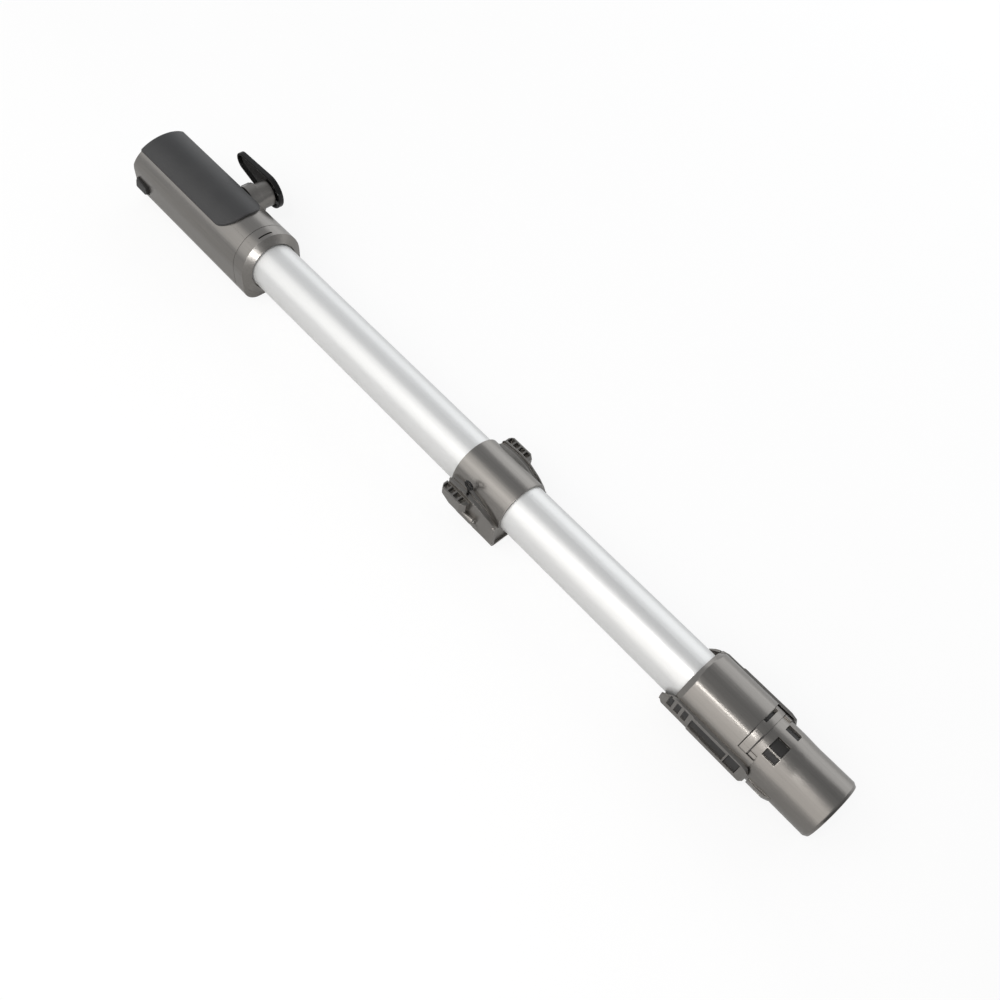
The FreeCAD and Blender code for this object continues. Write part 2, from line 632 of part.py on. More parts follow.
def makeHook():
    body = doc.addObject("PartDesign::Body", "HookBody")
    whole = newSketch(body, "XZ_Plane", "HookOutline")
    leafOutline(whole, "hook_radius", "hook_tip", "hook_reach")
    pad = body.newObject("PartDesign::Pad", "HookPad")
    pad.Profile = whole
    pad.Reversed = True
    bind(pad, Length="hook_thick")
    dish = newSketch(body, "XZ_Plane", "HookDish")
    leafOutline(dish, "hook_radius - hook_rim", "hook_tip - hook_rim", "hook_reach")
    pocket = body.newObject("PartDesign::Pocket", "HookPocket")
    pocket.Profile = dish
    bind(pocket, Length="hook_dish")
    pocket.Reversed = False
    doc.recompute()
    if pocket.Shape.Volume >= pad.Shape.Volume - 1:
        pocket.Reversed = True
    put(body, "0", "0", "0")
    hub = rod("HookHub", "hub_radius", "0", "hook_thick", ("0", "0"), "Y")
    hole = rod("HookHole", "bolt_radius + pivot_play", "-1", "hook_thick + 2", ("0", "0"), "Y")
    sink = rod("HookSink", "bolt_head + 0.3", "hook_thick - bolt_cap - moving_gap", "hook_thick",
               ("0", "0"), "Y")
    hook = cut("Hook", fuse("HookBlank", body, hub), hole, sink)
    hook.Placement = FreeCAD.Placement(Vector(), Rotation(Vector(0, 1, 0), value("hook_lift")))
    node(put(hook, "boss_place", HOOK_START, "boss_height"), "cord_hook")


def makeHookBolt():
    axis = ("boss_place", "boss_height")
    thread = rod("BoltThread", "screw_radius", "flange_top - 3", "boss_top - flange_top + 4", axis, "Y")
    shoulder = rod("BoltShoulder", "bolt_radius", "boss_top", "%s - boss_top" % BOLT_SEAT, axis, "Y")
    head = rod("BoltHead", "bolt_head", BOLT_SEAT, "bolt_cap", axis, "Y")
    slot = block("BoltSlot", ("boss_place - bolt_head", "boss_place + bolt_head"),
                 ("%s + bolt_cap / 2" % BOLT_SEAT, "%s + bolt_cap" % BOLT_SEAT),
                 ("boss_height - 0.5", "boss_height + 0.5"))
    node(cut("Bolt", fuse("BoltBlank", thread, shoulder, head), slot), "hook_screw")
    disc = rod("WasherDisc", "washer_radius", "boss_top", "washer_thick", axis, "Y")
    hole = rod("WasherHole", "bolt_radius + pivot_play", "boss_top - 1", "washer_thick + 2", axis, "Y")
    node(cut("Washer", disc, hole), "hook_washer")


def makeHookStop():
    """The rubber button that the hook's tip comes down on."""
    stem = rod("StopStem", "stop_radius", "socket_half - 3", "stop_top - socket_half + 2", STOP_AXIS,
               "Y")
    tip = cone("StopTip", ("stop_radius", "stop_radius * 0.6"), "stop_top - 1", "1", STOP_AXIS, "Y")
    node(fuse("Stop", stem, tip), "hook_stop")


# Clip collar at the middle

def sideWeb(side, way):
    """The ridge beside the shell that carries a tool post and runs down to the foot."""
    start = "%s + 1.5" % CLIP_START
    crest = [(start, "6"), ("%s - 28" % CLIP_END, "7.5"), ("%s - 18" % CLIP_END, "6"),
             ("%s - 8" % CLIP_END, "2.5"), (CLIP_END, "-2")]
    elevation = prism("WebSide" + side, "XZ_Plane", crest + [
        (CLIP_END, "-back_depth + foot_corner"), ("%s - foot_length" % CLIP_END, "-back_depth + 5"),
        (start, "-9")], *beside(way, "tube_radius - 1", POST_FACE))
    edge = [(start, "web_half - 1.5"), ("%s + 1.5" % start, "web_half"),
            ("%s - 20" % CLIP_END, "web_half"), ("%s - 10" % CLIP_END, "web_half - 0.8"),
            ("%s - 3" % CLIP_END, "foot_half"), (CLIP_END, "foot_half - 1.2")]

    def inset(less):
        return [(along, "%d * (%s - %s)" % (way, out, less)) for along, out in edge]

    inner = "%d * (tube_radius - 1)" % way
    footprint = prism("WebPlan" + side, "XY_Plane", [(start, inner)] + inset("0") + [(CLIP_END, inner)],
                      "-back_depth", POST_FACE)
    web = common("Web" + side, elevation, footprint)
    above = [(along, up + " + 1") for along, up in crest]
    below = [(along, up + " - channel_depth") for along, up in reversed(crest)]
    band = prism("ChannelBand" + side, "XZ_Plane", above + below, *beside(way, "0", "web_half"))
    strip = prism("ChannelStrip" + side, "XY_Plane",
                  inset("ridge_width") + inset("ridge_width - channel_width")[::-1],
                  "-back_depth", POST_FACE)
    return cut("WebSculpted" + side, web, common("Channel" + side, band, strip))


def makeClip():
    ring = rod("ClipRing", "clip_radius", CLIP_START, "clip_length")
    bore = rod("ClipBore", "tube_radius", "0", TUBE_END)
    under = block("ClipUnder", ("0", TUBE_END), ("-clip_radius * 2", "clip_radius * 2"),
                  ("-clip_radius * 2", "clip_split"))
    node(cut("ClipShell", ring, bore, under), "clip_shell")
    start = "%s + 2" % CLIP_START
    saddle = bellPad("SaddleBlank", start, "clip_length - 2", "saddle_half", "saddle_depth",
                     "saddle_corner")
    foot = bellPad("FootBlank", "%s - foot_length" % CLIP_END, "foot_length", "foot_half", "back_depth",
                   "foot_corner")
    top = block("SaddleTop", ("0", TUBE_END), ("-web_half", "web_half"), ("clip_split", "web_half"))
    lower = cut("SaddleLower", fuse("SaddleWhole", saddle, foot), top)
    webs = [sideWeb(side, way) for side, way in SIDES]
    for side, way in SIDES:
        across = ("%d * (web_half + 0.6)" % way, "-post_height - 0.5")
        webs.append(rod("Lobe" + side, "lobe_radius", "%s + 15" % CLIP_START, "12", across))
        ball = doc.addObject("Part::Sphere", "LobeEnd" + side)
        bind(ball, Radius="lobe_radius")
        webs.append(put(ball, "%s + 27" % CLIP_START, *across))
    room = rod("SaddleRoom", "tube_radius", "0", TUBE_END)
    upper = cut("ShellRoom", rod("ShellRoomRod", "clip_radius", "0", TUBE_END),
                block("ShellRoomUnder", ("-1", "%s + 1" % TUBE_END), ("-web_half", "web_half"),
                      ("-web_half", "clip_split")))
    node(cut("Saddle", fuse("SaddleBody", lower, *webs), room, upper, footRecess(),
             *screwHoles("clip_screws")), "clip_saddle")


def footRecess():
    """Two shallow recesses in the foot's end face, with walls round them and round the tube."""
    span = ("%s - recess_depth" % CLIP_END, "%s + 1" % CLIP_END)
    blocks = [block("FootRecess" + side, span, beside(way, "recess_wall", "foot_half - 1.2 - recess_wall"),
                    ("-back_depth + recess_wall", "-6")) for side, way in SIDES]
    wall = rod("FootRecessWall", "tube_radius + recess_wall", "0", TUBE_END)
    return cut("FootRecesses", fuse("FootRecessBlocks", *blocks), wall)


def makeClipLoop():
    """The small black loop that stands in the left web's channel beside the post."""
    place, across = "(%s - loop_place)" % CLIP_END, "-(web_half - ridge_width - channel_width / 2)"
    loop = doc.addObject("Part::Torus", "Loop")
    bind(loop, Radius1="loop_radius", Radius2="loop_wire")
    loop.Placement = FreeCAD.Placement(Vector(), TURNS["Y"])
    put(loop, place, across, "loop_height")
    channel = "(7.5 - channel_depth)"
    stalk = rod("LoopStalk", "loop_wire", channel, "loop_height - loop_radius - " + channel,
                (place, across), "Z")
    node(fuse("ClipLoop", loop, stalk), "clip_loop")


def makePost(side, way):
    """A ribbed post that an accessory tool pushes onto."""
    start = "%s + 1.5" % CLIP_START
    end = "%s + post_length" % start
    plan = [(start, "web_half"), (start, "web_half + post_reach * 0.5"),
            ("%s + 2.2" % start, POST_FACE), ("%s - 3.5" % end, POST_FACE),
            (end, "web_half + post_reach * 0.6"), (end, "web_half")]
    corners = [(along, "%d * (%s)" % (way, out)) for along, out in plan]
    low, high = "-(post_height / 2)", "(post_height / 2)"
    footprint = prism("PostPlan" + side, "XY_Plane", corners, low, high)
    elevation = prism("PostSide" + side, "XZ_Plane", [
        (start, high), (start, high + " - post_lip"), ("%s + 9" % start, low), ("%s - 4" % end, low),
        (end, low + " + 2"), (end, high)], *beside(way, "web_half", POST_FACE))
    blank = common("PostBlank" + side, footprint, elevation)
    pockets = []
    for number in range(4):
        first = "%s + post_wall + %d * (pocket_length + post_wall)" % (start, number)
        pockets.append(block("PostPocket%s%d" % (side, number),
                             (first, "%s + pocket_length" % first),
                             beside(way, "web_half + 0.9", POST_FACE + " - post_wall"),
                             (high + " - pocket_depth", high + " + 1")))
    node(cut("Post" + side, blank, *pockets), "tool_post_" + side)


# Lower collar, tool rails and spigot

def makeCollar():
    ears = RAIL_START
    shell = turned("CollarBlank", [(ears, "sleeve_radius"), (COLLAR_END, "sleeve_radius"),
                                   (COLLAR_END, "collar_radius"), (ears, "collar_radius")])
    crown = rod("CollarCrown", "crown_radius", "0", SPIGOT_TIP, ("0", "crown_height - crown_radius"))
    front = prism("CollarFront", "XZ_Plane", [
        (ears + " - 1", "-collar_ears / 2"), (ears, "-collar_ears / 2"),
        (COLLAR_START, "collar_ears / 2"),
        (COLLAR_START, "collar_radius + 1"), (ears + " - 1", "collar_radius + 1")],
        "-rail_half", "rail_half")
    flare = turned("CollarFlare", [
        (COLLAR_START, "collar_mouth"), ("%s + collar_flare" % COLLAR_START, "collar_radius"),
        ("%s + collar_flare" % COLLAR_START, "collar_radius + 2"),
        (ears + " - 1", "collar_radius + 2"), (ears + " - 1", "collar_mouth")])
    above = block("CollarAbove", ("0", SPIGOT_TIP), ("-rail_half", "rail_half"),
                  ("collar_ears / 2", "rail_half"))
    inner = rod("CollarInner", "ring_radius + 0.1", SHOULDER, "collar_skirt + 1")
    notch = block("CollarNotch", (SHOULDER, SPIGOT_TIP), ("-notch_half", "notch_half"),
                  ("0", "collar_radius + 1"))
    high = "(rail_height + rail_border)"
    seat = [("rail_seat", "-rail_height"), ("rail_half + 1", "-rail_height"), ("rail_half + 1", high),
            ("sqrt(collar_radius * collar_radius - %s * %s)" % (high, high), high),
            ("rail_seat", "rail_height")]
    seats = [prism("RailSeat" + side, "YZ_Plane", [("%d * (%s)" % (way, out), up) for out, up in seat],
                   "0", SPIGOT_TIP) for side, way in SIDES]
    node(cut("Collar", common("CollarShape", shell, crown), front, common("CollarLead", flare, above),
             inner, notch, *seats, *screwHoles("collar_screws")), "lower_collar")


def makeRail(side, way):
    """An insert in the collar's side that an accessory tool slides along."""
    start, end = RAIL_START, RAIL_END
    plan = [(start, "rail_seat"), (start, "rail_half - 1.6"), ("%s + 3" % start, "rail_half - 0.6"),
            ("%s + 22" % start, "rail_half - 0.6"), ("%s + 23" % start, "rail_half"),
            ("%s - 1.5" % end, "rail_half"), (end, "rail_half - 1"), (end, "rail_seat")]
    corners = [(along, "%d * (%s)" % (way, out)) for along, out in plan]
    footprint = prism("RailPlan" + side, "XY_Plane", corners, "-rail_height", "rail_height")
    elevation = prism("RailSide" + side, "XZ_Plane", [
        (start, "-rail_height + 2.5"), ("%s + 2.5" % start, "-rail_height"),
        ("%s - 2" % end, "-rail_height"), (end, "-rail_height + 2"),
        (end, "rail_height - 5"), ("%s - 2" % end, "rail_height - 1.6"),
        ("%s - 6" % end, "rail_height"), ("%s + 11" % start, "rail_height"),
        ("%s + 7" % start, "rail_height - 2"), (start, "-1")],
        *beside(way, "rail_seat - 1", "rail_half + 1"))
    blank = common("RailBlank" + side, footprint, elevation)
    face = beside(way, "rail_half - groove_depth", "rail_half + 1")
    groove = block("RailGroove" + side, ("%s + 22.5" % start, "%s - 15.5" % end), face,
                   ("-rail_height + 3.2", "rail_height - 3.2"))
    window = block("RailWindow" + side, ("%s - 14.5" % end, "%s - 6" % end),
                   beside(way, "rail_half - groove_depth - 0.4", "rail_half + 1"),
                   ("-rail_height + 3.2", "rail_height - 1.6"))
    slots = []
    for number in range(3):
        low = "%s + 5.5 + %d * 5.4" % (start, number)
        slots.append(block("RailSlot%s%d" % (side, number), (low, "%s + 3.4" % low), face,
                           ("-rail_height + 4.2", "rail_height - 2.2")))
    room = rod("RailRoom" + side, "ring_radius + 0.1", SHOULDER, "collar_skirt * 2")
    node(cut("Rail" + side, blank, room, groove, window, *slots), "tool_rail_" + side)


def makeSpigot():
    sleeve_start = "%s + 2" % COLLAR_START
    body = turned("SpigotBody", [
        (sleeve_start, "tube_radius"), (TUBE_END, "tube_radius"), (TUBE_END, "airway_radius"),
        (SPIGOT_TIP, "airway_radius"), (SPIGOT_TIP, "nose_radius - lip_depth"),
        ("%s - lip_length" % SPIGOT_TIP, "nose_radius"),
        ("%s + neck_length + taper_length" % SHOULDER, "nose_radius"),
        ("%s + neck_length" % SHOULDER, "neck_radius"),
        ("%s + ring_length" % SHOULDER, "neck_radius"),
        ("%s + ring_length" % SHOULDER, "ring_radius"), (SHOULDER, "ring_radius"),
        (SHOULDER, "sleeve_radius"), (sleeve_start, "sleeve_radius")])
    key_start, key_end = "%s + key_start" % RAIL_END, "%s + key_start + key_length" % RAIL_END
    blanks = keyRing("KeyBlank", "key_radius", key_start, "key_length", 0)
    ramp = turned("KeyRamp", [
        (key_start, "nose_radius - 1"), (key_end, "nose_radius - 1"), (key_end, "nose_radius + 0.3"),
        ("%s - key_lead" % key_end, "key_radius"), (key_start, "key_radius")])
    height = math.degrees(math.atan2(value("neck_radius"), value("pivot_height + 3.6")))
    notches = [sector("CatchNotch" + side, "key_radius + 1", "%s + %s - 0.4" % (RAIL_END, CATCH_START),
                      "catch_width + 0.8", way * height, 9) for side, way in SIDES]
    notch = cut("CatchNotches", fuse("CatchNotchBlanks", *notches),
                rod("CatchFloor", "neck_radius", "0", SPIGOT_TIP))
    keys = cut("Keys", common("KeyRamped", fuse("KeyBlanks", *blanks), ramp), notch)
    windows = []
    for number, (middle, wide) in enumerate(((-32.5, 13), (-12.5, 22), (25, 16))):
        windows.append(sector("Window%d" % number, "neck_radius + 1", "%s + window_start" % SHOULDER,
                              "window_length", middle, wide))
    floor = rod("WindowFloor", "neck_radius - window_depth", "0", "%s + 1" % SPIGOT_TIP)
    windows.append(sector("RingSlit", "ring_radius + 1", "%s + 0.4" % SHOULDER, "1.9", 18, 37))
    recess = cut("Windows", fuse("WindowWedges", *windows), floor)
    pad = sector("RingPad", "ring_radius + pad_rise", "%s + 0.5" % SHOULDER, "ring_length - 1", -35, 36)
    padInner = rod("RingPadInner", "ring_radius - 1", "0", SPIGOT_TIP)
    blank = fuse("SpigotBlank", body, keys, cut("RingPadShell", pad, padInner))
    node(cut("Spigot", blank, recess, *screwHoles("collar_screws")), "spigot")


makeTube()
makeHousing()
makeCuff()
makePanel()
makeSocketSeal()
for side, way in SIDES:
    makeButton(side, way)
    makeSpring(side, way)
makeHook()
makeHookBolt()
makeHookStop()
makeClip()
makeClipLoop()
for side, way in SIDES:
    makePost(side, way)
makeCollar()
for side, way in SIDES:
    makeRail(side, way)
makeSpigot()
for label in SCREWS:
    makeScrews(label)

doc.recompute()

# Every object has to be sound before anything is written

for thing in doc.Objects:
    if "Invalid" in thing.State or "Error" in thing.State:
        raise RuntimeError("%s failed: %s" % (thing.Name, thing.State))

os.makedirs("parts", exist_ok=True)
for thing in NODES:
    if thing.Shape.isNull() or not thing.Shape.isValid():
        raise RuntimeError("%s has no sound shape" % thing.Label)
    thing.Shape.exportStep("parts/%s.step" % thing.Label)
    box = thing.Shape.BoundBox
    print("%-22s %8.0f mm3  x %.1f..%.1f  y %.1f..%.1f  z %.1f..%.1f" % (
        thing.Label, thing.Shape.Volume, box.XMin, box.XMax, box.YMin, box.YMax, box.ZMin, box.ZMax))
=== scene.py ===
import json
import math

import bpy
from mathutils import Matrix, Vector


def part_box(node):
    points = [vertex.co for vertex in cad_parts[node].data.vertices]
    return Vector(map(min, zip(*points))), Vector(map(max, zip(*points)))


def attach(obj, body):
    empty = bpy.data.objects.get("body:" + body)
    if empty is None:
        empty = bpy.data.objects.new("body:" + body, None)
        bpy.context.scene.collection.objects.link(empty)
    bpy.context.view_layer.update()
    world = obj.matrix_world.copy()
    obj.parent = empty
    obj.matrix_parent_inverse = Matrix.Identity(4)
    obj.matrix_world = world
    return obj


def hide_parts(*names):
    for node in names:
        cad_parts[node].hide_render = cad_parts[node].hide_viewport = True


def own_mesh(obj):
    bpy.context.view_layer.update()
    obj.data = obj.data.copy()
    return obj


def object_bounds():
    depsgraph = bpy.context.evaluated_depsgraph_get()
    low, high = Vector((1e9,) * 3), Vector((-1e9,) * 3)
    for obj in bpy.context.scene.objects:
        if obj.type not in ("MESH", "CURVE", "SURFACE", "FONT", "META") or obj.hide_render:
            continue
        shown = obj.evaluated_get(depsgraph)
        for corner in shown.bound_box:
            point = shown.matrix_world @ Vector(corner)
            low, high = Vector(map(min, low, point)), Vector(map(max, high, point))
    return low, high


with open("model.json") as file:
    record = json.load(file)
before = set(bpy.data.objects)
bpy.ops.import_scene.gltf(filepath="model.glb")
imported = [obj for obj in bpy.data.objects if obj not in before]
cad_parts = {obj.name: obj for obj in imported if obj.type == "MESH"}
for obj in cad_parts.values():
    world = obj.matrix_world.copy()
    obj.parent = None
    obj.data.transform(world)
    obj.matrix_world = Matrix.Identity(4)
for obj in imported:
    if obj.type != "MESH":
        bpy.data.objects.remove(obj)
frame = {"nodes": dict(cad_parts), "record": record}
cadBox = [list(corner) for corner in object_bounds()]
mm = 0.001
print("loaded", len(frame["nodes"]), "nodes")


# Camera

view = {
    "place": (0.5948, -0.2689, 0.5152),
    "right": (0.6712, 0.7337, 0.1059),
    "up": (-0.6612, 0.5280, 0.5330),
    "lens": 35.316,
}


def placeCamera():
    data = bpy.data.cameras.new("camera")
    data.lens = view["lens"]
    data.sensor_width = 36
    data.clip_start = 0.01
    camera = bpy.data.objects.new("camera", data)
    right = Vector(view["right"]).normalized()
    back = right.cross(Vector(view["up"])).normalized()
    turn = Matrix((right, back.cross(right), back)).transposed().to_4x4()
    camera.matrix_world = Matrix.Translation(view["place"]) @ turn
    bpy.context.scene.collection.objects.link(camera)
    bpy.context.scene.camera = camera


placeCamera()
bpy.context.scene.view_settings.view_transform = "Standard"
print("camera placed")


# Nodes of materials and the world, with sums written as Python sums

class Wire:
    # one output of a node; an operator on it adds a Math node
    def __init__(self, sheet, socket):
        self.sheet = sheet
        self.socket = socket

    def maths(self, operation, first, second):
        return self.sheet.node("ShaderNodeMath", {"operation": operation}, {0: first, 1: second})

    def __add__(self, other):
        return self.maths("ADD", self, other)

    def __radd__(self, other):
        return self.maths("ADD", other, self)

    def __sub__(self, other):
        return self.maths("SUBTRACT", self, other)

    def __rsub__(self, other):
        return self.maths("SUBTRACT", other, self)

    def __mul__(self, other):
        return self.maths("MULTIPLY", self, other)

    def __rmul__(self, other):
        return self.maths("MULTIPLY", other, self)

    def highest(self, other):
        return self.maths("MAXIMUM", self, other)

    def smooth(self, low, high):
        # from 0 at low to 1 at high
        return self.sheet.node("ShaderNodeMapRange", {"interpolation_type": "SMOOTHSTEP", "clamp": True},
                               {0: self, 1: low, 2: high, 3: 0.0, 4: 1.0})


class Sheet:
    # a node tree
    def __init__(self, tree):
        self.tree = tree

    def node(self, kind, settings, sockets, out=0):
        node = self.tree.nodes.new(kind)
        for key, amount in settings.items():
            setattr(node, key, amount)
        for key, amount in sockets.items():
            self.join(amount, node.inputs[key])
        return Wire(self, node.outputs[out])

    def join(self, amount, socket):
        if isinstance(amount, Wire):
            self.tree.links.new(amount.socket, socket)
        else:
            socket.default_value = amount


class Finish(Sheet):
    # a material with one Principled shader
    def __init__(self, name, plain):
        self.material = bpy.data.materials.new(name)
        self.material.use_nodes = True
        super().__init__(self.material.node_tree)
        self.shader = self.tree.nodes["Principled BSDF"]
        for socket, amount in plain.items():
            self.set(socket, amount)
        self.place = self.node("ShaderNodeTexCoord", {}, {}, out="Object")

    def set(self, name, amount):
        self.join(amount, self.shader.inputs[name])

    def stretched(self, scale):
        return self.node("ShaderNodeMapping", {}, {"Vector": self.place, "Scale": scale})

    def noise(self, scale, detail=2.0, rough=0.5, where=None):
        return self.node("ShaderNodeTexNoise", {}, {"Vector": where or self.place, "Scale": scale,
                                                    "Detail": detail, "Roughness": rough})

    def tint(self, amount, first, second):
        return self.node("ShaderNodeMix", {"data_type": "RGBA"},
                         {0: amount, 6: (*first, 1), 7: (*second, 1)}, out=2)

    def bump(self, height, distance, strength):
        return self.node("ShaderNodeBump", {}, {"Strength": strength, "Distance": distance * mm,
                                                "Height": height})


# Finishes; a bump's distance is in mm

tubeLook = {"dark": (0.685, 0.69, 0.685), "light": (0.785, 0.79, 0.785), "rough": 0.30, "metal": 0.5}


def tubeSilver():
    # satin anodised tube: a fine lengthwise grain and the speckle of blasted metal
    finish = Finish("tubeSilver", {"Metallic": tubeLook["metal"]})
    grain = finish.noise(1.0, 4.0, 0.6, finish.stretched((40, 2600, 2600)))
    speckle = finish.noise(1500, 2.0)
    cloud = finish.noise(16, 2.0)
    finish.set("Base Color", finish.tint(cloud * 0.35 + speckle * 0.65, tubeLook["dark"],
                                         tubeLook["light"]))
    finish.set("Roughness", tubeLook["rough"] + grain * 0.08 + speckle * 0.06)
    finish.set("Normal", finish.bump(grain * 0.5 + speckle, 0.03, 0.35))
    return finish.material


shellLook = {"dark": (0.185, 0.176, 0.165), "light": (0.290, 0.277, 0.260), "rough": 0.23,
             # from here to here across the wand, in metres, the flow lines turn along the boss
             "boss": (0.0255, 0.0268)}


def shellLacquer():
    # warm grey metallic lacquer on moulded plastic; its flow lines follow the wand, or the boss
    finish = Finish("shellLacquer", {"Metallic": 0.92, "Coat Weight": 0.12, "Coat Roughness": 0.15})
    flake = finish.noise(2600, 2.0, 0.6)
    flow = finish.noise(1.0, 3.0, 0.55, finish.stretched((18, 900, 900)))
    flowOnBoss = finish.noise(1.0, 3.0, 0.55, finish.stretched((900, 18, 900)))
    across = finish.node("ShaderNodeSeparateXYZ", {}, {0: finish.place}, out="Y")
    boss = across.smooth(*shellLook["boss"])
    streaks = flow * (1 - boss) + flowOnBoss * boss
    cloud = finish.noise(22, 3.0)
    finish.set("Base Color", finish.tint(streaks * 0.55 + flake * 0.3 + cloud * 0.15,
                                         shellLook["dark"], shellLook["light"]))
    finish.set("Roughness", shellLook["rough"] + flake * 0.06 + streaks * 0.08)
    finish.set("Normal", finish.bump(streaks + flake * 0.12, 0.04, 0.4))
    return finish.material


panelLook = {"dark": (0.024, 0.024, 0.025), "light": (0.040, 0.040, 0.041)}


def panelSoft():
    # soft-touch rubber with a very fine leathery grain and the traces of fingers
    finish = Finish("panelSoft", {"Specular IOR Level": 0.5})
    grain = finish.node("ShaderNodeTexVoronoi", {"feature": "F1"},
                        {"Vector": finish.place, "Scale": 1500.0})
    dust = finish.noise(60, 4.0)
    finish.set("Base Color", finish.tint(dust, panelLook["dark"], panelLook["light"]))
    finish.set("Roughness", 0.44 + dust * 0.14)
    finish.set("Normal", finish.bump(grain, 0.06, 0.35))
    return finish.material


def hookBlack():
    # glossy black moulding with faint flow waves
    finish = Finish("hookBlack", {"Specular IOR Level": 0.32})
    wave = finish.noise(90, 2.0)
    smear = finish.noise(240, 3.0)
    finish.set("Base Color", finish.tint(smear, (0.004, 0.004, 0.004), (0.009, 0.009, 0.009)))
    finish.set("Roughness", 0.09 + smear * 0.1)
    finish.set("Normal", finish.bump(wave, 0.08, 0.3))
    return finish.material


def darkPlastic():
    # spark-eroded texture of small moulded parts
    finish = Finish("darkPlastic", {"Specular IOR Level": 0.3})
    grit = finish.noise(1900, 3.0, 0.7)
    cloud = finish.noise(50, 2.0)
    finish.set("Base Color", finish.tint(cloud, (0.019, 0.0185, 0.018), (0.028, 0.0275, 0.027)))
    finish.set("Roughness", 0.34 + grit * 0.2)
    finish.set("Normal", finish.bump(grit, 0.05, 0.5))
    return finish.material


def sealRubber():
    # black rubber with a dusty bloom
    finish = Finish("sealRubber", {"Specular IOR Level": 0.35})
    bloom = finish.noise(160, 3.0)
    finish.set("Base Color", finish.tint(bloom, (0.010, 0.010, 0.010), (0.026, 0.026, 0.025)))
    finish.set("Roughness", 0.58 + bloom * 0.2)
    finish.set("Normal", finish.bump(bloom, 0.04, 0.4))
    return finish.material


def platedSteel():
    # zinc-plated steel with fine turning marks
    finish = Finish("platedSteel", {"Metallic": 1.0})
    turning = finish.noise(900, 2.0, 0.5)
    finish.set("Base Color", finish.tint(turning, (0.50, 0.51, 0.52), (0.66, 0.67, 0.68)))
    finish.set("Roughness", 0.24 + turning * 0.16)
    finish.set("Normal", finish.bump(turning, 0.02, 0.3))
    return finish.material


materials = {
    "aluminium": tubeSilver(),
    "shell": shellLacquer(),
    "soft_panel": panelSoft(),
    "hook": hookBlack(),
    "dark": darkPlastic(),
    "seal": sealRubber(),
    "steel": platedSteel(),
}
slotOf = {row["node"]: row["material_slot"] for row in frame["record"]["subparts"]}
bodyOf = {node: body for body, nodes in frame["record"]["behaviour"]["bodies"].items() for node in nodes}


def paint(piece, slot):
    piece.data.materials.clear()
    piece.data.materials.append(materials[slot])


for nodeName, node in frame["nodes"].items():
    paint(node, slotOf[nodeName])
print("finishes made")


# Handling of pieces

# points closer than this in mm are merged, faces flatter to each other than this in degrees are
# joined, edges sharper than this are rounded, and shading stays smooth to a little above that
care = {"merge": 0.004, "flat": 0.4, "sharp": 30, "smooth": 35}


def only(piece):
    if bpy.context.object and bpy.context.object.mode != "OBJECT":
        bpy.ops.object.mode_set(mode="OBJECT")
    bpy.ops.object.select_all(action="DESELECT")
    piece.select_set(True)
    bpy.context.view_layer.objects.active = piece


def settle(piece, name, slot, body, *nodes):
    # the piece's place goes into its mesh, then it rides with its body
    only(piece)
    bpy.ops.object.transform_apply(location=True, rotation=True, scale=True)
    piece.name = name
    paint(piece, slot)
    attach(piece, body)
    if nodes:
        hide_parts(*nodes)
    return piece


def pick(piece, kind, test):
    # selects, in edit mode, the faces, edges or vertices that pass a test
    bpy.ops.mesh.select_mode(type={"polygons": "FACE", "edges": "EDGE", "vertices": "VERT"}[kind])
    bpy.ops.mesh.select_all(action="DESELECT")
    bpy.ops.object.mode_set(mode="OBJECT")
    for part in getattr(piece.data, kind):
        part.select = test(part)
    bpy.ops.object.mode_set(mode="EDIT")


def roundEdges(piece, width, segments=2, clamp=True):
    # width in mm
    only(piece)
    bevel = piece.modifiers.new("edges", "BEVEL")
    bevel.width = width * mm
    bevel.segments = segments
    bevel.limit_method = "ANGLE"
    bevel.angle_limit = math.radians(care["sharp"])
    bevel.miter_outer = "MITER_ARC"
    bevel.use_clamp_overlap = clamp
    bpy.ops.object.modifier_apply(modifier=bevel.name)
    bpy.ops.object.shade_smooth_by_angle(angle=math.radians(care["smooth"]), keep_sharp_edges=True)
    weighted = piece.modifiers.new("shading", "WEIGHTED_NORMAL")
    weighted.keep_sharp = True
    bpy.ops.object.modifier_apply(modifier=weighted.name)


def mergedCopy(nodeName, flat=True):
    # a copy of a CAD node with its loose triangles joined, and merged into flat faces
    piece = bpy.data.objects.new(nodeName, frame["nodes"][nodeName].data.copy())
    bpy.context.scene.collection.objects.link(piece)
    only(piece)
    bpy.ops.object.mode_set(mode="EDIT")
    bpy.ops.mesh.select_all(action="SELECT")
    bpy.ops.mesh.customdata_custom_splitnormals_clear()
    bpy.ops.mesh.remove_doubles(threshold=care["merge"] * mm)
    if flat:
        bpy.ops.mesh.dissolve_limited(angle_limit=math.radians(care["flat"]))
    bpy.ops.object.mode_set(mode="OBJECT")
    return piece


# Rounded copies of the mouldings

# width of the rounding, in mm, round the cuff's end face where it meets the housing; its outline
# lies further from the axis than the reach
cuffSeam = {"width": 0.5, "reach": 22, "within": 0.02}


def roundSeam(cuff):
    only(cuff)
    bpy.ops.object.mode_set(mode="EDIT")
    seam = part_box("socket_cuff")[0][0]

    def onSeam(edge):
        ends = [cuff.data.vertices[index].co for index in edge.vertices]
        return all(abs(end.x - seam) < cuffSeam["within"] * mm
                   and Vector((end.y, end.z)).length > cuffSeam["reach"] * mm for end in ends)

    pick(cuff, "edges", onSeam)
    bpy.ops.mesh.bevel(offset=cuffSeam["width"] * mm, segments=2, clamp_overlap=False)
    bpy.ops.object.mode_set(mode="OBJECT")


